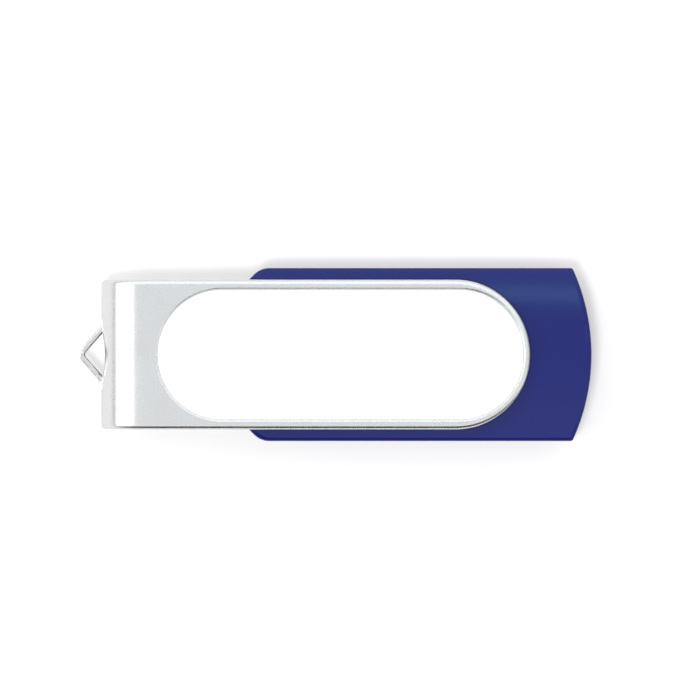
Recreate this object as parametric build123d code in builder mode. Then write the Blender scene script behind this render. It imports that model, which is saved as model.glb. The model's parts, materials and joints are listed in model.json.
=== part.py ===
"""Swivel usb flash drive: a folded metal cover turns about a rivet through a plastic body.

Frame: millimetres, +Z up, the drive lies flat and closed. +X runs along the length from the
key loop to the round end of the body. The origin is the middle of the whole drive's footprint.
Every sketch is placed on level(h), whose origin is the pivot on the drive's middle plane.
"""
import os
from math import atan2, degrees, sqrt

from build123d import *

os.makedirs("parts", exist_ok=True)

# Metal cover
cover_length = 47.4       # outer face of the fold to the round end
cover_width = 16.5
cover_thickness = 9.6     # over both plates
sheet = 0.8
cover_edge_radius = 0.5
loop_reach = 2.4          # how far the pressed-out key loop stands beyond the fold
loop_half_span = 3.1      # pivot line to the place where a leg leaves the wall
loop_thickness = 0.62
loop_width = 2.4          # along Z
loop_tip_radius = 1.0
loop_root_radius = 1.3
loop_edge_radius = 0.2
slot_length = 6.2         # window that the loop was pressed out of, along Y
slot_height = 4.2         # and along Z

# Label field in both plates
label_length = 40.4
rim_side = 1.05
rim_end = 0.72
recess_depth = 0.45
recess_edge_radius = 0.2
label_gap = 0.08
film_thickness = 0.12
dome_thickness = 0.30
dome_edge_radius = 0.22

# Plastic body
body_width = 19.1
body_thickness = 7.4
pivot_to_front = 24.0
pivot_to_rear = 15.0
rear_arc_radius = 23.0
rear_corner_radius = 0.35
front_chamfer = 2.5
front_corner_radius = 2.4
crown_drop = 0.9          # how much lower the long edges are than the crown
body_edge_radius = 0.5
wall = 1.2
roof = 1.2
lip_thickness = 0.5
lip_height = 0.6
lip_clearance = 0.05
parting_chamfer = 0.1

# Pivot
rivet_radius = 1.5
countersink = 0.35        # how much wider the rivet is at the label field
rivet_clearance = 0.05
seat_clearance = 0.02
tube_wall = 1.65
rivet_hollow_radius = 0.8
rivet_hollow_depth = 1.2
washer_radius = 3.0

# Plug
plug_width = 12.0
plug_height = 4.5
plug_reach = 12.0         # beyond the front of the body
plug_length = 18.7
plug_sheet = 0.3
plug_corner_radius = 0.45
window_length = 2.0
window_width = 2.5
window_spacing = 6.5
window_from_tip = 5.16
plug_clearance = 0.05
tab_length = 3.0
tab_height = 1.5
tongue_thickness = 1.84
tongue_clearance = 0.05
tongue_block_length = 8.2
tongue_setback = 0.5
contact_width = 1.0
contact_thickness = 0.28
contact_pitches = (-3.5, -1.0, 1.0, 3.5)
outer_contact_setback = 1.0
inner_contact_setback = 1.9
contact_proud = 0.05
contact_tail = 1.9

# Board and what is soldered on it
board_length = 27.4
board_width = 13.6
board_thickness = 0.8
board_gap = 0.2           # plug shell to the board's front edge
board_hole_clearance = 0.3
post_radius = 0.7
post_inset = 0.7
solder_leg = 0.45
controller_size = 7.0
controller_height = 1.4
controller_standoff = 0.1
controller_x = -9.6
lead_pitch = 0.5
leads_per_side = 12
lead_width = 0.22
lead_thickness = 0.13
lead_reach = 1.0
lead_foot = 0.5
flash_length = 11.5
flash_width = 9.5
flash_height = 1.0
flash_x = -9.8
ball_height = 0.08
ball_radius = 0.2
ball_pitch = 1.3
capacitor = (1.6, 0.8, 0.8)
capacitor_places = ((-1.9, 5.5), (0.7, 5.5), (3.3, 5.5), (-3.3, -5.5))
resistor = (1.6, 0.8, 0.5)
resistor_places = ((-0.7, -5.5), (1.9, -5.5), (9.1, 3.6))
crystal = (2.5, 3.2, 0.8)
crystal_place = (6.4, -3.4)
regulator = (1.4, 2.9, 1.0)
regulator_place = (6.2, 3.4)
led = (1.25, 2.0, 0.8)
led_place = (9.2, 0.0)

# Worked out from the sizes above
cover_radius = cover_width / 2
pivot_to_fold = cover_length - cover_radius
fold_radius = cover_thickness / 2
fold_inner_radius = fold_radius - sheet
fold_x = fold_radius - pivot_to_fold
overall_length = pivot_to_fold + loop_reach + pivot_to_rear
pivot_x = overall_length / 2 - pivot_to_rear
mid_z = fold_radius
half_body = body_thickness / 2
washer_thickness = fold_inner_radius - half_body
web = sheet - recess_depth
field_floor = fold_radius - recess_depth
label_radius = cover_radius - rim_side
label_x = cover_radius - rim_end - label_length / 2
crown_radius = ((body_width / 2) ** 2 + crown_drop ** 2) / (2 * crown_drop)
rear_side_x = pivot_to_rear - rear_arc_radius + sqrt(rear_arc_radius ** 2 - (body_width / 2) ** 2)
cavity_top = half_body - roof
bore_radius = rivet_radius + rivet_clearance
tube_radius = bore_radius + tube_wall
plug_tip = -pivot_to_front - plug_reach
plug_rear = plug_tip + plug_length
plug_inside = plug_height / 2 - plug_sheet
tongue_floor = -plug_inside + tongue_clearance
tongue_top = tongue_floor + tongue_thickness
contact_floor = tongue_top + contact_proud - contact_thickness
board_top = contact_floor
board_bottom = board_top - board_thickness
board_front = plug_rear + board_gap
board_x = board_front + board_length / 2
loop_run = loop_reach - loop_tip_radius
loop_spread = 1 - (loop_tip_radius / loop_half_span) ** 2
loop_root = sqrt(loop_run ** 2 - loop_spread * (loop_run ** 2 - loop_tip_radius ** 2))
loop_tip = (loop_run + loop_root) / loop_spread  # the sharp corner that the tip's radius rounds off
loop_slope = loop_half_span / loop_tip
loop_eye_tip = -pivot_to_fold - loop_tip + loop_thickness * sqrt(1 + 1 / loop_slope ** 2)
loop_root_x = 0.7 * sheet - pivot_to_fold
loop_root_y = slot_length / 2 + 0.9
loop_eye_y = loop_slope * (loop_root_x - loop_eye_tip)
countersink_angle = degrees(atan2(countersink, web))
post_y = board_width / 2 - post_inset
post_xs = (board_front + 4.6, board_front + board_length - 1.4)


def level(height):
    """The sketch plane at this height above the drive's middle, with its origin on the pivot."""
    return Plane(origin=(pivot_x, 0, mid_z + height))


def crosswise(along):
    """An upright sketch plane across the drive, facing +X, this far from the pivot."""
    return Plane(origin=(pivot_x + along, 0, mid_z), x_dir=(0, 1, 0), z_dir=(1, 0, 0))


def lengthwise(across):
    """An upright sketch plane along the drive, facing -Y, this far across from the pivot."""
    return Plane(origin=(pivot_x, across, mid_z), x_dir=(1, 0, 0), z_dir=(0, -1, 0))


def stadium(length, radius, centre_x):
    with Locations((centre_x, 0)):
        SlotOverall(length, 2 * radius)


def body_outline(inset=0.0):
    """The body seen from above, inset on every side: round rear end and chamfered front corners."""
    half = body_width / 2
    with BuildSketch(Plane.XY) as outline:
        with BuildLine():
            Polyline(
                (rear_side_x, half),
                (front_chamfer - pivot_to_front, half),
                (-pivot_to_front, half - front_chamfer),
                (-pivot_to_front, front_chamfer - half),
                (front_chamfer - pivot_to_front, -half),
                (rear_side_x, -half),
            )
            ThreePointArc((rear_side_x, -half), (pivot_to_rear, 0), (rear_side_x, half))
        make_face()
        fillet(vertices().group_by(Axis.X)[-1], rear_corner_radius)
        fillet(vertices().filter_by_position(Axis.X, -pivot_to_front - 1, 0), front_corner_radius)
        if inset:
            offset(amount=-inset, mode=Mode.REPLACE)
    return outline.sketch


# Cover ---------------------------------------------------------------------------------------

def is_recess_mouth(edge):
    """True for the edges of the label fields that lie in the plates' outer faces."""
    inside = abs(edge.center().Y) < label_radius + 0.01
    right = edge.center().X < pivot_x + label_x + label_length / 2 + 0.01
    left = edge.center().X > pivot_x + label_x - label_length / 2 - 0.01
    return inside and left and right and edge.length > 1


# The strap that is pressed out of the fold, seen from above: a bent outside and a bent eye.
with BuildPart() as key_loop_strap:
    with BuildSketch(level(-loop_width / 2)):
        with BuildLine():
            FilletPolyline(
                (loop_root_x, loop_root_y),
                (-pivot_to_fold, loop_root_y),
                (-pivot_to_fold, loop_half_span),
                (-pivot_to_fold - loop_tip, 0),
                (-pivot_to_fold, -loop_half_span),
                (-pivot_to_fold, -loop_root_y),
                (loop_root_x, -loop_root_y),
                radius=(0, loop_root_radius, loop_tip_radius, loop_root_radius, 0),
            )
            Line((loop_root_x, -loop_root_y), (loop_root_x, loop_root_y))
        make_face()
        with BuildLine():
            FilletPolyline(
                (loop_root_x, loop_eye_y),
                (loop_eye_tip, 0),
                (loop_root_x, -loop_eye_y),
                radius=loop_tip_radius - loop_thickness,
            )
            Line((loop_root_x, -loop_eye_y), (loop_root_x, loop_eye_y))
        make_face(mode=Mode.SUBTRACT)
    extrude(amount=loop_width)
    strap_faces = faces().sort_by(Axis.Z)
    fillet(strap_faces[0].edges() + strap_faces[-1].edges(), loop_edge_radius)

with BuildPart() as swivel_clip:
    # The U of sheet seen from the side, folded round at the key loop's end.
    with BuildSketch(lengthwise(0)):
        with BuildLine():
            Line((cover_radius, fold_radius), (fold_x, fold_radius))
            ThreePointArc((fold_x, fold_radius), (-pivot_to_fold, 0), (fold_x, -fold_radius))
            Line((fold_x, -fold_radius), (cover_radius, -fold_radius))
            Line((cover_radius, -fold_radius), (cover_radius, -fold_inner_radius))
            Line((cover_radius, -fold_inner_radius), (fold_x, -fold_inner_radius))
            ThreePointArc(
                (fold_x, -fold_inner_radius),
                (sheet - pivot_to_fold, 0),
                (fold_x, fold_inner_radius),
            )
            Line((fold_x, fold_inner_radius), (cover_radius, fold_inner_radius))
            Line((cover_radius, fold_inner_radius), (cover_radius, fold_radius))
        make_face()
    extrude(amount=cover_radius, both=True)
    # Both plates end in a half circle about the pivot.
    with BuildSketch(level(-fold_radius)):
        Circle(cover_radius)
        with Locations((-pivot_to_fold / 2, 0)):
            Rectangle(pivot_to_fold, cover_width)
    extrude(amount=cover_thickness, mode=Mode.INTERSECT)
    # Soft edges around the whole outside of the sheet.
    outside = (
        faces().sort_by(Axis.Z)[-1].edges()
        + faces().sort_by(Axis.Z)[0].edges()
        + faces().sort_by(Axis.X)[0].edges()
    )
    rim_edges = [e for e in outside if e.geom_type != GeomType.LINE or e.length > cover_width + 1]
    fillet(rim_edges, cover_edge_radius)
    # Window and the strap pressed out of it, which is the key loop.
    with BuildSketch(crosswise(-pivot_to_fold - loop_reach)):
        Ellipse(slot_length / 2, slot_height / 2)
    extrude(amount=loop_reach + 2 * sheet, mode=Mode.SUBTRACT)
    add(key_loop_strap.part)
    # Label fields, one in each plate, with the countersunk rivet hole through what is left.
    with BuildSketch(level(field_floor), level(-fold_radius)):
        stadium(label_length, label_radius, label_x)
    extrude(amount=recess_depth, mode=Mode.SUBTRACT)
    outer_faces = [faces().sort_by(Axis.Z)[-1], faces().sort_by(Axis.Z)[0]]
    plate_edges = [e for face in outer_faces for e in face.edges()]
    fillet([e for e in plate_edges if is_recess_mouth(e)], recess_edge_radius)
    with BuildSketch(level(fold_inner_radius)):
        Circle(rivet_radius + seat_clearance)
    extrude(amount=web, taper=-countersink_angle, mode=Mode.SUBTRACT)
    with BuildSketch(level(-fold_inner_radius)):
        Circle(rivet_radius + seat_clearance)
    extrude(amount=-web, taper=-countersink_angle, mode=Mode.SUBTRACT)

swivel_clip.part.label = "swivel_clip"
export_step(swivel_clip.part, "parts/swivel_clip.step")

with BuildPart() as pivot_rivet:
    with BuildSketch(level(-fold_inner_radius)):
        Circle(rivet_radius)
    extrude(amount=2 * fold_inner_radius)
    with BuildSketch(level(fold_inner_radius)):
        Circle(rivet_radius)
    extrude(amount=web, taper=-countersink_angle)
    with BuildSketch(level(-fold_inner_radius)):
        Circle(rivet_radius)
    extrude(amount=-web, taper=-countersink_angle)
    # The end that is rolled over when the drive is assembled is hollow.
    with BuildSketch(level(-field_floor)):
        Circle(rivet_hollow_radius)
    extrude(amount=rivet_hollow_depth, mode=Mode.SUBTRACT)

pivot_rivet.part.label = "pivot_rivet"
export_step(pivot_rivet.part, "parts/pivot_rivet.step")


def washer(height, name):
    with BuildPart() as ring:
        with BuildSketch(level(height)):
            Circle(washer_radius)
            Circle(bore_radius, mode=Mode.SUBTRACT)
        extrude(amount=washer_thickness)
    ring.part.label = name
    export_step(ring.part, f"parts/{name}.step")


washer(half_body, "upper_washer")
washer(-fold_inner_radius, "lower_washer")


def label(side, film_name, dome_name):
    """A printed-film blank and its clear dome; side is +1 for the front plate and -1 for the back."""
    outward = level(side * field_floor)
    with BuildPart() as film:
        with BuildSketch(outward):
            stadium(label_length - 2 * label_gap, label_radius - label_gap, label_x)
        extrude(amount=side * film_thickness)
    film.part.label = film_name
    export_step(film.part, f"parts/{film_name}.step")
    with BuildPart() as dome:
        with BuildSketch(level(side * (field_floor + film_thickness))):
            stadium(label_length - 2 * label_gap, label_radius - label_gap, label_x)
        extrude(amount=side * dome_thickness)
        crown = faces().sort_by(Axis.Z)[-1 if side > 0 else 0]
        fillet(crown.edges(), dome_edge_radius)
    dome.part.label = dome_name
    export_step(dome.part, f"parts/{dome_name}.step")


label(1, "front_label_film", "front_label_dome")
label(-1, "back_label_film", "back_label_dome")

# Body shells ---------------------------------------------------------------------------------


def shell(side, name):
    """One half of the body; side is +1 for the upper shell and -1 for the lower one."""
    with BuildPart() as half:
        with BuildSketch(level(0)):
            add(body_outline())
        extrude(amount=side * half_body)
        # The crown: a large cylinder along X shapes the outside.
        with BuildSketch(crosswise(-pivot_to_front - 1)):
            with Locations((0, side * (half_body - crown_radius))):
                Circle(crown_radius)
        extrude(amount=pivot_to_front + pivot_to_rear + 2, mode=Mode.INTERSECT)
        rims = [e for e in edges() if side * (e.center().Z - mid_z) > 1 and abs(e.tangent_at(0.5).Z) < 0.5]
        fillet(rims, body_edge_radius)
        chamfer(edges().filter_by(lambda e: abs(e.center().Z - mid_z) < 0.001), parting_chamfer)
        # Flat seat for the washer.
        with BuildSketch(level(0)):
            Circle(washer_radius + 0.2)
        extrude(amount=side * half_body)
        # Hollow, with the tube that the rivet runs in.
        with BuildSketch(level(0)):
            add(body_outline(wall))
            Circle(tube_radius, mode=Mode.SUBTRACT)
        extrude(amount=side * cavity_top, mode=Mode.SUBTRACT)
        # Ribs that clamp the plug, and the posts that clamp the board.
        with BuildSketch(level(side * plug_height / 2)):
            with Locations((plug_rear - 2.0, 0)):
                Rectangle(1.2, plug_width - 1)
        extrude(amount=side * (cavity_top - plug_height / 2))
        post_end = board_top if side > 0 else board_bottom
        with BuildSketch(level(post_end)):
            with Locations(*[(x, y) for x in post_xs for y in (-post_y, post_y)]):
                Circle(post_radius)
        extrude(amount=side * cavity_top - post_end)
        # The lip round the lower shell stands in a step round the upper one.
        if side > 0:
            with BuildSketch(level(0)):
                add(body_outline(wall - lip_thickness - lip_clearance))
                add(body_outline(wall), mode=Mode.SUBTRACT)
            extrude(amount=lip_height + lip_clearance, mode=Mode.SUBTRACT)
        else:
            with BuildSketch(level(0)):
                add(body_outline(wall - lip_thickness))
                add(body_outline(wall), mode=Mode.SUBTRACT)
            extrude(amount=lip_height)
        # Mouth for the plug, and the rivet's bore.
        with BuildSketch(crosswise(-pivot_to_front - 1)):
            RectangleRounded(
                plug_width + 2 * plug_clearance,
                plug_height + 2 * plug_clearance,
                plug_corner_radius + plug_clearance,
            )
        extrude(amount=1 + wall + 0.2, mode=Mode.SUBTRACT)
        with BuildSketch(level(-half_body)):
            Circle(bore_radius)
        extrude(amount=body_thickness, mode=Mode.SUBTRACT)
    half.part.label = name
    export_step(half.part, f"parts/{name}.step")


shell(1, "upper_shell")
shell(-1, "lower_shell")

# Plug ----------------------------------------------------------------------------------------

with BuildPart() as plug_shell:
    with BuildSketch(crosswise(plug_tip)):
        RectangleRounded(plug_width, plug_height, plug_corner_radius)
        RectangleRounded(
            plug_width - 2 * plug_sheet,
            plug_height - 2 * plug_sheet,
            plug_corner_radius - plug_sheet,
            mode=Mode.SUBTRACT,
        )
    extrude(amount=plug_length)
    # Latch windows, two in each wide side.
    with BuildSketch(level(-plug_height / 2)):
        with Locations((plug_tip + window_from_tip + window_length / 2, 0)):
            with GridLocations(0, window_spacing, 1, 2):
                Rectangle(window_length, window_width)
    extrude(amount=plug_height, mode=Mode.SUBTRACT)
    # Tabs that stand on the board and are soldered to it.
    with BuildSketch(level(board_top)):
        with Locations((plug_rear + tab_length / 2 - 0.1, 0)):
            with GridLocations(0, plug_width - plug_sheet, 1, 2):
                Rectangle(tab_length + 0.2, plug_sheet)
    extrude(amount=tab_height)

plug_shell.part.label = "plug_shell"
export_step(plug_shell.part, "parts/plug_shell.step")


def contact_row(start_setbacks, end_x):
    """The four contact strips side by side; the outer two reach nearer to the mouth."""
    with BuildPart() as strips:
        for y in contact_pitches:
            start = plug_tip + start_setbacks[abs(y) > 2]
            with BuildSketch(level(contact_floor)):
                with Locations(((start + end_x) / 2, y)):
                    Rectangle(end_x - start, contact_width)
            extrude(amount=contact_thickness)
    return strips.part


contacts = contact_row((inner_contact_setback, outer_contact_setback), board_front + contact_tail)

with BuildPart() as plug_contacts:
    add(contacts)

plug_contacts.part.label = "plug_contacts"
export_step(plug_contacts.part, "parts/plug_contacts.step")

with BuildPart() as contact_tongue:
    inside_half_width = plug_width / 2 - plug_sheet - tongue_clearance
    with BuildSketch(level(tongue_floor)):
        tongue_length = plug_length - tongue_setback
        with Locations((plug_rear - tongue_length / 2, 0)):
            Rectangle(tongue_length, 2 * inside_half_width)
    extrude(amount=tongue_thickness)
    # The lead-in edge at the mouth.
    front_top = edges().filter_by(Axis.Y).group_by(Axis.X)[0].sort_by(Axis.Z)[-1]
    chamfer(front_top, 0.4)
    # The thick block behind the mouth fills the shell.
    with BuildSketch(level(tongue_floor)):
        with Locations((plug_rear - tongue_block_length / 2, 0)):
            Rectangle(tongue_block_length, 2 * inside_half_width)
    extrude(amount=2 * (plug_inside - tongue_clearance))
    add(contacts, mode=Mode.SUBTRACT)

contact_tongue.part.label = "contact_tongue"
export_step(contact_tongue.part, "parts/contact_tongue.step")

# Board and what is soldered on it --------------------------------------------------------------

with BuildPart() as circuit_board:
    with BuildSketch(level(board_bottom)):
        with Locations((board_x, 0)):
            RectangleRounded(board_length, board_width, 0.5)
        Circle(tube_radius + board_hole_clearance, mode=Mode.SUBTRACT)
    extrude(amount=board_thickness)

circuit_board.part.label = "circuit_board"
export_step(circuit_board.part, "parts/circuit_board.step")


def place_blocks(size, places, name, edge=0.08):
    """Block-shaped parts standing on the top of the board."""
    length, width, height = size
    with BuildPart() as blocks:
        for place in places:
            with BuildSketch(level(board_top)):
                with Locations(place):
                    Rectangle(length, width)
            extrude(amount=height)
        chamfer(faces().filter_by(Axis.Z).group_by(Axis.Z)[-1].edges(), edge)
    blocks.part.label = name
    export_step(blocks.part, f"parts/{name}.step")


place_blocks(capacitor, capacitor_places, "chip_capacitors")
place_blocks(resistor, resistor_places, "chip_resistors")
place_blocks(crystal, [crystal_place], "crystal_can", 0.15)
place_blocks(led, [led_place], "status_led")

with BuildPart() as controller_chip:
    with BuildSketch(level(board_top + controller_standoff)):
        with Locations((controller_x, 0)):
            Rectangle(controller_size, controller_size)
    extrude(amount=controller_height)
    chamfer(edges().filter_by(Axis.Z), 0.25)
    chamfer(faces().sort_by(Axis.Z)[-1].edges(), 0.12)

controller_chip.part.label = "controller_chip"
export_step(controller_chip.part, "parts/controller_chip.step")


def gull_wing(reach, foot, rise, thickness):
    """One lead from the side: it leaves a chip at x=0, drops by rise and ends in a foot."""
    shoulder = reach - foot
    with BuildSketch(Plane.XY) as lead:
        with BuildLine():
            Polyline(
                (0, rise),
                (shoulder, rise),
                (shoulder, thickness),
                (reach, thickness),
                (reach, 0),
                (shoulder - thickness, 0),
                (shoulder - thickness, rise - thickness),
                (0, rise - thickness),
                close=True,
            )
        make_face()
    return lead.sketch


def lead_set(centre, half_body_size, pitch, angles_and_counts, rise, name):
    """Gull-wing leads on the sides of a chip whose middle is at centre."""
    with BuildPart() as leads:
        for angle, count in angles_and_counts:
            side_plane = level(board_top) * Location((centre[0], centre[1], 0), (0, 0, angle))
            for number in range(count):
                along = (number - (count - 1) / 2) * pitch
                shift = Location((half_body_size, along + lead_width / 2, 0), (90, 0, 0))
                with BuildSketch(side_plane * shift):
                    add(gull_wing(lead_reach, lead_foot, rise, lead_thickness))
                extrude(amount=lead_width)
    leads.part.label = name
    export_step(leads.part, f"parts/{name}.step")


controller_rise = controller_standoff + controller_height / 2
four_sides = [(angle, leads_per_side) for angle in (0, 90, 180, 270)]
lead_set((controller_x, 0), controller_size / 2, lead_pitch, four_sides, controller_rise, "controller_leads")

with BuildPart() as regulator_chip:
    with BuildSketch(level(board_top + controller_standoff)):
        with Locations(regulator_place):
            Rectangle(regulator[0], regulator[1])
    extrude(amount=regulator[2])
    chamfer(faces().sort_by(Axis.Z)[-1].edges(), 0.12)

regulator_chip.part.label = "regulator_chip"
export_step(regulator_chip.part, "parts/regulator_chip.step")
regulator_rise = controller_standoff + regulator[2] / 2
lead_set(regulator_place, regulator[0] / 2, 0.95, [(0, 1), (180, 3)], regulator_rise, "regulator_leads")

with BuildPart() as flash_chip:
    with BuildSketch(level(board_bottom - ball_height)):
        with Locations((flash_x, 0)):
            Rectangle(flash_length, flash_width)
    extrude(amount=-flash_height)
    chamfer(faces().sort_by(Axis.Z)[0].edges(), 0.1)

flash_chip.part.label = "flash_chip"
export_step(flash_chip.part, "parts/flash_chip.step")

with BuildPart() as flash_solder_balls:
    with BuildSketch(level(board_bottom)):
        with Locations((flash_x, 0)):
            with GridLocations(ball_pitch, ball_pitch, 8, 6):
                Circle(ball_radius)
    extrude(amount=-ball_height)

flash_solder_balls.part.label = "flash_solder_balls"
export_step(flash_solder_balls.part, "parts/flash_solder_balls.step")

with BuildPart() as solder_joints:
    # A fillet of solder along the outside of each plug tab.
    for side in (-1, 1):
        with BuildSketch(crosswise(board_front + 0.3)):
            with BuildLine():
                Polyline(
                    (side * plug_width / 2, board_top),
                    (side * (plug_width / 2 + solder_leg), board_top),
                    (side * plug_width / 2, board_top + solder_leg),
                    close=True,
                )
            make_face()
        extrude(amount=tab_length - 0.8)
    # And a fillet at the end of each contact.
    for y in contact_pitches:
        with BuildSketch(lengthwise(y + contact_width / 2)):
            with BuildLine():
                Polyline(
                    (board_front + contact_tail, board_top),
                    (board_front + contact_tail + solder_leg, board_top),
                    (board_front + contact_tail, board_top + contact_thickness),
                    close=True,
                )
            make_face()
        extrude(amount=contact_width)

solder_joints.part.label = "solder_joints"
export_step(solder_joints.part, "parts/solder_joints.step")
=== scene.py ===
"""Looks for a swivel usb flash drive, laid out as an add-on and run as a script.

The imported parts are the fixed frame. The script gives each material slot the finish of the
real piece, models the labels and the plug's seam, and lights the drive on a plain white table.
"""

import json
import math

import bmesh
import bpy
from bpy.props import FloatProperty, FloatVectorProperty, PointerProperty
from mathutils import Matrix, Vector


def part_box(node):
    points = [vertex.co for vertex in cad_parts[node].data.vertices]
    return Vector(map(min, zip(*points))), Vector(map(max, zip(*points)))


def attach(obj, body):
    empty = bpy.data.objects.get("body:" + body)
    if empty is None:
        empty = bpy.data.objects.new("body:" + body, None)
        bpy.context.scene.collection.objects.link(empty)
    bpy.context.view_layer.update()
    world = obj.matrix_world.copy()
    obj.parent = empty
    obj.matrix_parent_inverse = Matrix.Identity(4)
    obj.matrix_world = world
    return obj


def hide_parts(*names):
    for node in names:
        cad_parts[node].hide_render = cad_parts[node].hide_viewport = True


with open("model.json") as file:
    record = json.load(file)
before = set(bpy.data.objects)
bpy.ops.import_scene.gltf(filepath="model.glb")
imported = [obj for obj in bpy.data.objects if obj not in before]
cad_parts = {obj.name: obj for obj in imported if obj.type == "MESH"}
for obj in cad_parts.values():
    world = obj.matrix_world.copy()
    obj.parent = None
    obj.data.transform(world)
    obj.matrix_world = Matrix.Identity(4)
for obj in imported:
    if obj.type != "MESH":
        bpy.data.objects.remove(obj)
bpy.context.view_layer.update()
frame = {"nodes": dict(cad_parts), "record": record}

bl_info = {
    "name": "Swivel Flash Drive Looks",
    "version": (1, 0, 0),
    "blender": (4, 5, 0),
    "location": "View3D > Sidebar > Flash Drive",
    "description": "Finishes, small details, light and camera for a swivel usb flash drive",
    "category": "Object",
}

MM = 0.001
EVEN = (1, 1, 1)  # a pattern that isn't drawn out
NOISE_ROUGHNESS = 0.55
RANGE_ENDS = ("From Min", "From Max", "To Min", "To Max")
PATTERN_SPAN = (0.3, 0.7)  # the part of a noise pattern's range that is used
BODY_TONES = ("#121C63", "#15206A")  # two close tones of the body's blue


# Helpers ---------------------------------------------------------------------------------


def linear(hex_colour, alpha=1.0):
    """An sRGB hex colour as linear RGBA."""
    parts = [int(hex_colour[i : i + 2], 16) / 255 for i in (1, 3, 5)]
    return (
        *(c / 12.92 if c <= 0.04045 else ((c + 0.055) / 1.055) ** 2.4 for c in parts),
        alpha,
    )


def box_of(*nodes):
    """The box round these parts at rest, as its lowest and highest corner."""
    corners = [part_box(node) for node in nodes]
    low = Vector([min(Vector(c[0])[i] for c in corners) for i in range(3)])
    high = Vector([max(Vector(c[1])[i] for c in corners) for i in range(3)])
    return low, high


def add_node(tree, kind, links=(), **settings):
    """Adds a node. A setting is a property, or an input's name or number with its value."""
    node = tree.nodes.new(kind)
    inputs = settings.pop("inputs", {})
    for name, value in settings.items():
        setattr(node, name, value)
    for name, value in inputs.items():
        node.inputs[name].default_value = value
    for socket, source in links:
        tree.links.new(source, node.inputs[socket])
    return node


def new_material(name, colour, metallic=0.0, coat=0.0):
    """A material with its shader, its tree and the object's coordinates ready to use."""
    material = bpy.data.materials.new(name)
    material.use_nodes = True
    tree = material.node_tree
    shader = tree.nodes["Principled BSDF"]
    shader.inputs["Base Color"].default_value = linear(colour)
    shader.inputs["Metallic"].default_value = metallic
    shader.inputs["Coat Weight"].default_value = coat
    place = add_node(tree, "ShaderNodeTexCoord").outputs["Object"]
    return material, tree, shader, place


def lay_patterns(tree, place, rows):
    """The patterns of one finish, by name. A row is feature width in mm, detail and stretch."""
    made = {}
    for name, (size_mm, detail, stretch) in rows.items():
        drawn = add_node(tree, "ShaderNodeMapping", [("Vector", place)], inputs={"Scale": stretch})
        made[name] = add_node(
            tree,
            "ShaderNodeTexNoise",
            [("Vector", drawn.outputs["Vector"])],
            inputs={
                "Scale": 1 / (size_mm * MM),
                "Detail": detail,
                "Roughness": NOISE_ROUGHNESS,
            },
        ).outputs["Fac"]
    return made


def seen_directly(tree):
    """1 for rays that the camera sees straight or through a clear dome, else 0."""
    rays = add_node(tree, "ShaderNodeLightPath")
    return add_node(
        tree,
        "ShaderNodeMath",
        [(0, rays.outputs["Is Camera Ray"]), (1, rays.outputs["Is Transmission Ray"])],
        operation="MAXIMUM",
    ).outputs[0]


# Materials -------------------------------------------------------------------------------


def textured(
    name,
    tones,
    shine,
    grain,
    depth_mm,
    strength=0.5,
    flow=None,
    metallic=0.0,
    coat=0.0,
    specular=0.5,
):
    """A finish with a fine grain in its shine and relief, and tones that drift with a wide flow.

    The grain and the flow are each a feature width in mm, a detail and a stretch."""
    material, tree, shader, place = new_material(name, tones[0], metallic, coat)
    shader.inputs["Specular IOR Level"].default_value = specular
    made = lay_patterns(tree, place, {"grain": grain, "flow": flow} if flow else {"grain": grain})
    roughness = add_node(
        tree,
        "ShaderNodeMapRange",
        [("Value", made["grain"])],
        inputs=dict(zip(RANGE_ENDS, (*PATTERN_SPAN, *shine))),
    )
    relief = add_node(
        tree,
        "ShaderNodeBump",
        [("Height", made["grain"])],
        inputs={"Strength": strength, "Distance": depth_mm * MM},
    )
    tree.links.new(roughness.outputs["Result"], shader.inputs["Roughness"])
    tree.links.new(relief.outputs["Normal"], shader.inputs["Normal"])
    if flow:
        drift = add_node(
            tree,
            "ShaderNodeMapRange",
            [("Value", made["flow"])],
            inputs=dict(zip(RANGE_ENDS, (*PATTERN_SPAN, 0.0, 1.0))),
        )
        tone = add_node(
            tree,
            "ShaderNodeMix",
            [("Factor", drift.outputs["Result"])],
            data_type="RGBA",
            inputs={"A": linear(tones[0]), "B": linear(tones[1])},
        )
        tree.links.new(tone.outputs["Result"], shader.inputs["Base Color"])
    return material


LOOP_BURNISH = (0.25 * MM, 0.04 * MM)  # where the shine fades out, short of the fold
LOOP_ROUGHNESS = 0.07
BLAST_DEPTH = 0.0025 * MM
BLAST_STRENGTH = 0.35


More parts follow.
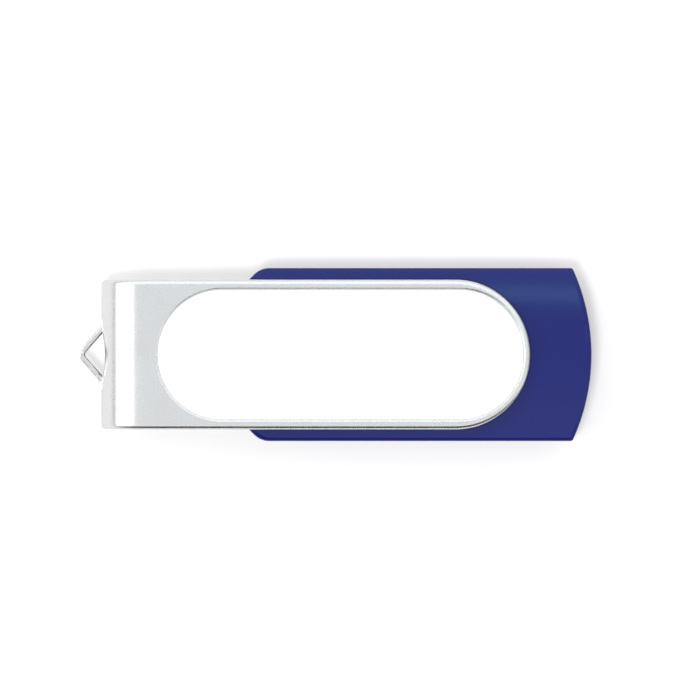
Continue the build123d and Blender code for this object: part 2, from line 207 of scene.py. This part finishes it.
def blasted_nickel(sizes):
    """Nickel-plated steel sheet, bead blasted: a fine even grain and a soft, wide sheen.

    The pressed-out key loop was burnished by the press tool, so it shines, and the tool
    leaves it drawn into shallow ripples."""
    material, tree, shader, place = new_material(
        "bead-blasted nickel-plated steel", "#EDEDED", metallic=1.0
    )
    rows = {
        "grain": (sizes.grain_mm, 3.0, EVEN),
        "haze": (5.0, 2.0, EVEN),
        "ripples": (sizes.ripple_mm, 0.5, (1.6, 1, 0.4)),
    }
    made = lay_patterns(tree, place, rows)
    along = add_node(tree, "ShaderNodeSeparateXYZ", [("Vector", place)]).outputs["X"]
    loop_end = box_of("swivel_clip")[0].x + sizes.loop_reach_mm * MM
    fade = [loop_end - short for short in LOOP_BURNISH]
    ranges = {
        "burnished": (along, *fade, 1.0, 0.0),
        "fine shine": (made["grain"], *PATTERN_SPAN, 0.22, 0.32),
        "uneven shine": (made["haze"], *PATTERN_SPAN, -0.02, 0.03),
        "ripples": (made["ripples"], 0.0, 1.0, 0.0, sizes.ripple_depth),
    }
    for name, (value, *span) in ranges.items():
        made[name] = add_node(
            tree, "ShaderNodeMapRange", [("Value", value)], inputs=dict(zip(RANGE_ENDS, span))
        ).outputs["Result"]
    satin = add_node(
        tree,
        "ShaderNodeMath",
        [(0, made["fine shine"]), (1, made["uneven shine"])],
        operation="ADD",
    )
    roughness = add_node(
        tree,
        "ShaderNodeMix",
        [("Factor", made["burnished"]), ("A", satin.outputs[0])],
        inputs={"B": LOOP_ROUGHNESS},
    )
    height = add_node(
        tree,
        "ShaderNodeMix",
        [("Factor", made["burnished"]), ("A", made["grain"]), ("B", made["ripples"])],
    )
    relief = add_node(
        tree,
        "ShaderNodeBump",
        [("Height", height.outputs["Result"])],
        inputs={"Strength": BLAST_STRENGTH, "Distance": BLAST_DEPTH},
    )
    tree.links.new(roughness.outputs["Result"], shader.inputs["Roughness"])
    tree.links.new(relief.outputs["Normal"], shader.inputs["Normal"])
    return material


def clear_dome():
    """Clear polyurethane, poured: glassy, a little wavy, and the film shows through it."""
    material = bpy.data.materials.new("poured clear polyurethane")
    material.use_nodes = True
    tree = material.node_tree
    tree.nodes.remove(tree.nodes["Principled BSDF"])
    place = add_node(tree, "ShaderNodeTexCoord").outputs["Object"]
    waves = lay_patterns(tree, place, {"waves": (3.0, 1.0, EVEN)})["waves"]
    wave = add_node(
        tree,
        "ShaderNodeBump",
        [("Height", waves)],
        inputs={"Strength": 0.25, "Distance": 0.01 * MM},
    ).outputs["Normal"]
    gloss = add_node(tree, "ShaderNodeBsdfGlossy", [("Normal", wave)], inputs={"Roughness": 0.06})
    see = add_node(tree, "ShaderNodeBsdfTransparent")
    fresnel = add_node(tree, "ShaderNodeFresnel", [("Normal", wave)], inputs={"IOR": 1.49})
    # Only the outer surface shines; light that comes back up through the dome passes it.
    inside = add_node(tree, "ShaderNodeNewGeometry").outputs["Backfacing"]
    outer = add_node(
        tree,
        "ShaderNodeMix",
        [("Factor", inside), ("A", fresnel.outputs[0])],
        inputs={"B": 0.0},
    ).outputs["Result"]
    mixed = add_node(
        tree,
        "ShaderNodeMixShader",
        [(0, outer), (1, see.outputs[0]), (2, gloss.outputs[0])],
    )
    tree.links.new(mixed.outputs[0], tree.nodes["Material Output"].inputs["Surface"])
    return material


def main_finishes(sizes):
    """The finishes that show most, by slot of the record."""
    return {
        "satin_metal": blasted_nickel(sizes),
        # Free-cutting steel rivet, turned: fine rings and a soft shine.
        "rivet_steel": textured(
            "turned steel",
            ("#C9C8C5",),
            (0.24, 0.38),
            grain=(0.12, 1.0, (1, 1, 6)),
            depth_mm=0.002,
            strength=0.3,
            metallic=1.0,
        ),
        # Cast vinyl film, blank and calendered smooth: bright white with hardly any tooth.
        "label_white": textured(
            "white vinyl film",
            ("#FBFBFB", "#FEFEFE"),
            (0.42, 0.5),
            grain=(0.3, 2.0, EVEN),
            depth_mm=0.001,
            strength=0.3,
            flow=(6.0, 3.0, EVEN),
        ),
        "dome_clear": clear_dome(),
        # ABS, moulded in a finely spark-eroded tool: a dense matt texture and a low sheen.
        "blue_plastic": textured(
            "moulded abs, satin blue",
            BODY_TONES,
            (0.11, 0.18),
            grain=(sizes.spark_mm, 2.0, EVEN),
            depth_mm=0.0012,
            strength=0.35,
            flow=(9.0, 1.5, (0.4, 1, 1)),
            specular=0.32,
        ),
        # Stainless strip, nickel plated and drawn into a tube: bright, with fine lines along it.
        "plug_steel": textured(
            "nickel-plated drawn steel",
            ("#D4D3CF", "#DEDDDA"),
            (0.18, 0.32),
            grain=(0.10, 2.0, (0.04, 1, 1)),
            depth_mm=0.002,
            strength=0.4,
            flow=(4.0, 3.0, EVEN),
            metallic=1.0,
        ),
    }


UNEVEN_SHINE = (-0.05, 0.06)  # how far a plain finish's roughness strays from its middle
FLOW_GRAINS = 12  # how many grains wide the drift between a plain finish's two tones is

# The other slots. A row is name, two tones, roughness, grain mm, depth mm, metallic, coat.
PLAIN_FINISHES = {
    # Nylon 66 sheet, stamped: milky and waxy.
    "nylon": ("stamped nylon sheet", ("#ECEBE4", "#F1F0EA"), 0.5, 0.15, 0.002, 0.0, 0.0),
    # Liquid crystal polymer, moulded: dense, off-white, slightly chalky.
    "tongue_plastic": (
        "moulded liquid crystal polymer", ("#E9E8E2", "#F0EFEA"), 0.48, 0.12, 0.002, 0.0, 0.0
    ),
    # Hard gold flash over nickel: warm and bright, with fine wipe marks.
    "gold": ("gold flash on nickel", ("#E3B75A", "#ECC46C"), 0.2, 0.08, 0.001, 1.0, 0.0),
    # Solder mask over glass epoxy: glossy green, with the weave just showing.
    "board_green": (
        "solder mask on glass epoxy", ("#0E4A27", "#12552E"), 0.22, 0.4, 0.004, 0.0, 0.3
    ),
    # Mould compound, black epoxy full of silica: matt and sparkly fine.
    "chip_epoxy": ("black mould compound", ("#1B1B1C", "#202022"), 0.55, 0.08, 0.003, 0.0, 0.0),
    # Matt tin plate on copper leads.
    "tinned_metal": ("matt tin plate", ("#C4C3BE", "#CFCEC9"), 0.34, 0.06, 0.001, 1.0, 0.0),
    # Reflowed solder: bright, with a frosty grain.
    "solder": ("reflowed solder", ("#BDBDBB", "#CACAC8"), 0.26, 0.1, 0.003, 1.0, 0.0),
    # Gold-nickel plated lid of the crystal.
    "can_metal": ("plated crystal lid", ("#CBC5B6", "#D3CEC0"), 0.3, 0.1, 0.001, 1.0, 0.0),
    # Clear epoxy over the led's die.
    "led_resin": ("cast led epoxy", ("#E4E8EC", "#EDF0F2"), 0.12, 0.3, 0.001, 0.0, 0.2),
    # Barium titanate, sintered: a dull tan.
    "ceramic_tan": ("sintered ceramic", ("#A08262", "#AA8C6B"), 0.55, 0.1, 0.002, 0.0, 0.0),
    # Glass-glazed resistor top.
    "chip_black": ("glazed resistor", ("#1E1E20", "#242427"), 0.25, 0.1, 0.001, 0.0, 0.2),
}


# Settings --------------------------------------------------------------------------------


class FlashDriveSizes(bpy.types.PropertyGroup):
    """Sizes and finishes that a user would change."""

    grain_mm: FloatProperty(
        name="Blasted grain",
        description="Width of one dimple of the bead-blasted cover, in millimetres",
        default=0.09,
        min=0.02,
    )
    loop_reach_mm: FloatProperty(
        name="Key loop reach",
        description="How far the burnished key loop stands beyond the fold, in millimetres",
        default=2.4,
        min=0.5,
    )
    label_gap: FloatProperty(
        name="Label gap",
        description="Air between a label film and the dome over it",
        default=0.02 * MM,
        unit="LENGTH",
    )
    seam_width: FloatProperty(
        name="Plug seam width",
        description="Width of the crimped seam under the plug",
        default=0.5 * MM,
        unit="LENGTH",
    )
    seam_proud: FloatProperty(
        name="Plug seam height",
        description="How far the crimped seam stands out of the plug",
        default=0.03 * MM,
        unit="LENGTH",
    )
    ripple_mm: FloatProperty(
        name="Loop ripples",
        description="Width of a ripple on the burnished key loop, in millimetres",
        default=0.7,
        min=0.1,
    )
    ripple_depth: FloatProperty(
        name="Ripple depth",
        description="Depth of a ripple, as a multiple of the blasted grain's depth",
        default=130.0,
        min=0.0,
    )
    spark_mm: FloatProperty(
        name="Body texture",
        description="Width of one crater of the body's spark-eroded texture, in millimetres",
        default=0.12,
        min=0.02,
    )
    table_colour: FloatVectorProperty(
        name="Table colour",
        description="Colour of the table that the drive lies on",
        subtype="COLOR",
        size=4,
        default=linear("#D9D9D9"),
    )
    floor_size: FloatProperty(
        name="Table size",
        description="Side of the white table",
        default=1.6,
        unit="LENGTH",
    )
    camera_height: FloatProperty(
        name="Camera height",
        description="Height of the camera over the table",
        default=0.9,
        unit="LENGTH",
    )
    view_width: FloatProperty(
        name="View width",
        description="Width of what the camera sees at the drive",
        default=0.077,
        unit="LENGTH",
    )


def clear_selection():
    if bpy.context.mode != "OBJECT":
        bpy.ops.object.mode_set(mode="OBJECT")
    bpy.ops.object.select_all(action="DESELECT")


def settle(piece, name, material, body):
    """Names a finished piece, puts its place in its mesh and hands it to its body."""
    clear_selection()
    piece.select_set(True)
    bpy.context.view_layer.objects.active = piece
    bpy.ops.object.transform_apply(location=True, rotation=True, scale=True)
    piece.name = name
    piece.data.name = name
    piece.data.materials.clear()
    piece.data.materials.append(material)
    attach(piece, body)
    return piece


# Operators -------------------------------------------------------------------------------

LEVEL = 1e-7  # vertices closer than this along an axis count as level
OUTLINE_POINTS = 192  # round the two ends of a label
SMOOTH_BELOW = math.radians(35)
SEAM_INSET = 0.2 * MM  # from each end of the plug's free length
SEAM_EDGE = 0.6  # the seam's softened edge, as a share of how far it stands out


class FLASHDRIVE_OT_finish_parts(bpy.types.Operator):
    """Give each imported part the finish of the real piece"""

    bl_idname = "flashdrive.finish_parts"
    bl_label = "Finish the Parts"

    def execute(self, context):
        sizes = context.scene.flash_drive
        made = main_finishes(sizes)
        for slot, row in PLAIN_FINISHES.items():
            name, tones, roughness, grain_mm, depth_mm, metallic, coat = row
            made[slot] = textured(
                name,
                tones,
                [roughness + stray for stray in UNEVEN_SHINE],
                grain=(grain_mm, 3.0, EVEN),
                depth_mm=depth_mm,
                flow=(FLOW_GRAINS * grain_mm, 3.0, EVEN),
                metallic=metallic,
                coat=coat,
            )
        for part in frame["record"]["subparts"]:
            node = frame["nodes"][part["node"]]
            node.data.materials.clear()
            node.data.materials.append(made[part["material_slot"]])
        return {"FINISHED"}


class FLASHDRIVE_OT_labels(bpy.types.Operator):
    """Model the blank label films and their poured clear domes, front and back"""

    bl_idname = "flashdrive.labels"
    bl_label = "Labels and Domes"

    def execute(self, context):
        sizes = context.scene.flash_drive
        for side, where in ((1, "front"), (-1, "back")):
            film = f"{where}_label_film"
            dome = f"{where}_label_dome"
            low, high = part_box(film)
            thickness = high[2] - low[2] - sizes.label_gap
            start = low[2] if side > 0 else high[2]
            piece = self.stadium(film, start, side * thickness)
            finish = bpy.data.materials["white vinyl film"]
            settle(piece, f"{film}_cut", finish, "cover")
            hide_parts(film)
            low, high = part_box(dome)
            start = low[2] if side > 0 else high[2]
            piece = self.stadium(dome, start, side * (high[2] - low[2]))
            finish = bpy.data.materials["poured clear polyurethane"]
            settle(piece, f"{dome}_poured", finish, "cover")
            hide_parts(dome)
        return {"FINISHED"}

    def stadium(self, node, start, height):
        """A round-ended slab as large as the node, with square edges."""
        low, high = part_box(node)
        radius = (high[1] - low[1]) / 2
        stretch = (high[0] - low[0]) / 2 - radius
        clear_selection()
        bpy.ops.mesh.primitive_circle_add(
            vertices=OUTLINE_POINTS,
            radius=radius,
            fill_type="NGON",
            location=((low[0] + high[0]) / 2, (low[1] + high[1]) / 2, start),
        )
        piece = bpy.context.active_object
        bpy.ops.object.mode_set(mode="EDIT")
        for way in (-1, 1):
            bpy.ops.mesh.select_all(action="DESELECT")
            mesh = bmesh.from_edit_mesh(piece.data)
            for vertex in mesh.verts:
                vertex.select = way * vertex.co.x > LEVEL
            mesh.select_flush_mode()
            bmesh.update_edit_mesh(piece.data)
            bpy.ops.transform.translate(value=(way * stretch, 0, 0))
        bpy.ops.mesh.select_all(action="SELECT")
        bpy.ops.mesh.extrude_region_move(TRANSFORM_OT_translate={"value": (0, 0, height)})
        bpy.ops.mesh.select_all(action="SELECT")
        bpy.ops.mesh.normals_make_consistent(inside=False)
        bpy.ops.object.mode_set(mode="OBJECT")
        bpy.ops.object.shade_smooth_by_angle(angle=SMOOTH_BELOW)
        return piece


class FLASHDRIVE_OT_plug_seam(bpy.types.Operator):
    """Model the crimped seam where the plug's sheet meets itself, under the plug"""

    bl_idname = "flashdrive.plug_seam"
    bl_label = "Plug Seam"

    def execute(self, context):
        sizes = context.scene.flash_drive
        low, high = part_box("plug_shell")
        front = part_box("upper_shell")[0][0]
        length = front - low[0] - 2 * SEAM_INSET
        clear_selection()
        bpy.ops.mesh.primitive_cube_add(
            size=1,
            location=(low[0] + SEAM_INSET + length / 2, (low[1] + high[1]) / 2, low[2]),
        )
        seam = context.active_object
        seam.dimensions = (length, sizes.seam_width, 2 * sizes.seam_proud)
        bpy.ops.object.transform_apply(location=False, rotation=False, scale=True)
        modifier = seam.modifiers.new("edges", "BEVEL")
        modifier.width = SEAM_EDGE * sizes.seam_proud
        modifier.segments = 3
        bpy.ops.object.modifier_apply(modifier="edges")
        finish = bpy.data.materials["nickel-plated drawn steel"]
        settle(seam, "plug_seam", finish, "drive")
        return {"FINISHED"}


# How bright the light tent is from its dark -Y side, over the top, to its +Y side.
TENT_LEVELS = (
    (-1.0, 0.05),
    (-0.62, 0.08),
    (-0.44, 0.95),
    (-0.26, 1.0),
    (-0.12, 0.75),
    (0.25, 0.76),
    (0.5, 1.15),
    (1.0, 1.15),
)
HORIZON_GAP = (0.02, 0.2)  # heights between which the tent rises from dark to full
HORIZON_LEVEL = 0.06  # how bright the tent is at the horizon, as a share of full
TABLE_LIFT = 0.29  # what the table gives the eye beside its lit colour, so that it reads white
TABLE_ROUGHNESS = 0.9
SENSOR_WIDTH = 36
VIEW_OFFSET = (1.65 * MM, 0.5 * MM)  # from the drive's middle to the middle of the view

# Name, place, width, height, watts, shows in gloss, lights diffuse surfaces, colour.
LAMPS = (
    ("key softbox", (-0.08, -0.135, 0.91), 0.14, 0.14, 4.0, False, True, "#FFFFFF"),
    ("side softbox", (-0.60, 0.0, 0.42), 0.5, 0.6, 1.3, True, True, "#FFFFFF"),
    ("strip softbox", (0.05, 0.205, 0.75), 0.9, 0.045, 0.4, True, False, "#96DCFF"),
)


class FLASHDRIVE_OT_stage(bpy.types.Operator):
    """Set the white table, the studio lamps and the camera over the drive"""

    bl_idname = "flashdrive.stage"
    bl_label = "Table, Lamps and Camera"

    def execute(self, context):
        self.table(context)
        self.world(context)
        self.lamps(context)
        self.camera(context)
        context.scene.view_settings.view_transform = "Standard"
        return {"FINISHED"}

    def table(self, context):
        clear_selection()
        bpy.ops.mesh.primitive_plane_add(size=context.scene.flash_drive.floor_size)
        table = context.active_object
        table.name = "table"
        material = bpy.data.materials.new("white table")
        material.use_nodes = True
        tree = material.node_tree
        shader = tree.nodes["Principled BSDF"]
        shader.inputs["Base Color"].default_value = context.scene.flash_drive.table_colour
        shader.inputs["Roughness"].default_value = TABLE_ROUGHNESS
        shader.inputs["Specular IOR Level"].default_value = 0.0
        lift = add_node(
            tree,
            "ShaderNodeMath",
            [(0, seen_directly(tree))],
            operation="MULTIPLY",
            inputs={1: TABLE_LIFT},
        )
        shader.inputs["Emission Color"].default_value = (1, 1, 1, 1)
        tree.links.new(lift.outputs[0], shader.inputs["Emission Strength"])
        table.data.materials.append(material)

    def world(self, context):
        """A light tent: bright over the +Y and -X sides, darker towards -Y."""
        world = bpy.data.worlds.new("light tent")
        context.scene.world = world
        world.use_nodes = True
        tree = world.node_tree
        tree.nodes.clear()
        way = add_node(tree, "ShaderNodeTexCoord").outputs["Generated"]
        split = add_node(tree, "ShaderNodeSeparateXYZ", [("Vector", way)])
        across = add_node(
            tree,
            "ShaderNodeMapRange",
            [("Value", split.outputs["Y"])],
            inputs=dict(zip(RANGE_ENDS, (-1.0, 1.0, 0.0, 1.0))),
        )
        ramp = add_node(tree, "ShaderNodeValToRGB", [("Fac", across.outputs["Result"])])
        while len(ramp.color_ramp.elements) < len(TENT_LEVELS):
            ramp.color_ramp.elements.new(0.5)
        for element, (towards_y, level) in zip(ramp.color_ramp.elements, TENT_LEVELS):
            element.position = (towards_y + 1) / 2
            element.color = (level, level, level, 1)
        gap = add_node(
            tree,
            "ShaderNodeMapRange",
            [("Value", split.outputs["Z"])],
            inputs=dict(zip(RANGE_ENDS, (*HORIZON_GAP, HORIZON_LEVEL, 1.0))),
        )
        side = add_node(
            tree,
            "ShaderNodeMath",
            [(0, ramp.outputs["Color"]), (1, gap.outputs["Result"])],
            operation="MULTIPLY",
        )
        level = add_node(
            tree,
            "ShaderNodeMix",
            [("Factor", seen_directly(tree)), ("A", side.outputs[0])],
            inputs={"B": 1.0},
        ).outputs["Result"]
        glow = add_node(tree, "ShaderNodeBackground", [("Strength", level)])
        glow.inputs["Color"].default_value = (1, 1, 1, 1)
        out = add_node(tree, "ShaderNodeOutputWorld")
        tree.links.new(glow.outputs[0], out.inputs["Surface"])

    def lamps(self, context):
        for name, place, width, height, watts, in_gloss, in_diffuse, colour in LAMPS:
            light = bpy.data.lights.new(name, "AREA")
            light.shape = "RECTANGLE"
            light.size, light.size_y = width, height
            light.energy = watts
            light.color = linear(colour)[:3]
            lamp = bpy.data.objects.new(name, light)
            context.collection.objects.link(lamp)
            lamp.location = place
            lamp.rotation_euler = (-Vector(place)).to_track_quat("-Z", "Y").to_euler()
            lamp.visible_glossy = in_gloss
            lamp.visible_diffuse = in_diffuse

    def camera(self, context):
        sizes = context.scene.flash_drive
        low, high = box_of("swivel_clip", "upper_shell")
        data = bpy.data.cameras.new("camera")
        data.sensor_width = SENSOR_WIDTH
        data.lens = data.sensor_width * (sizes.camera_height - high.z) / sizes.view_width
        camera = bpy.data.objects.new("camera", data)
        context.collection.objects.link(camera)
        camera.location = (
            (low.x + high.x) / 2 + VIEW_OFFSET[0],
            (low.y + high.y) / 2 + VIEW_OFFSET[1],
            sizes.camera_height,
        )
        context.scene.camera = camera


class FLASHDRIVE_PT_panel(bpy.types.Panel):
    """The sizes and the steps, in the 3D view's sidebar"""

    bl_idname = "FLASHDRIVE_PT_panel"
    bl_label = "Flash Drive"
    bl_space_type = "VIEW_3D"
    bl_region_type = "UI"
    bl_category = "Flash Drive"

    def draw(self, context):
        for name in FlashDriveSizes.__annotations__:
            self.layout.prop(context.scene.flash_drive, name)
        for operator in OPERATORS:
            self.layout.operator(operator.bl_idname)


OPERATORS = (
    FLASHDRIVE_OT_finish_parts,
    FLASHDRIVE_OT_labels,
    FLASHDRIVE_OT_plug_seam,
    FLASHDRIVE_OT_stage,
)
CLASSES = (FlashDriveSizes, *OPERATORS, FLASHDRIVE_PT_panel)


def register():
    for cls in CLASSES:
        bpy.utils.register_class(cls)
    bpy.types.Scene.flash_drive = PointerProperty(type=FlashDriveSizes)


def unregister():
    del bpy.types.Scene.flash_drive
    for cls in reversed(CLASSES):
        bpy.utils.unregister_class(cls)


def main():
    register()
    bpy.ops.flashdrive.finish_parts()
    bpy.ops.flashdrive.labels()
    bpy.ops.flashdrive.plug_seam()
    bpy.ops.flashdrive.stage()


if __name__ == "__main__":
    main()
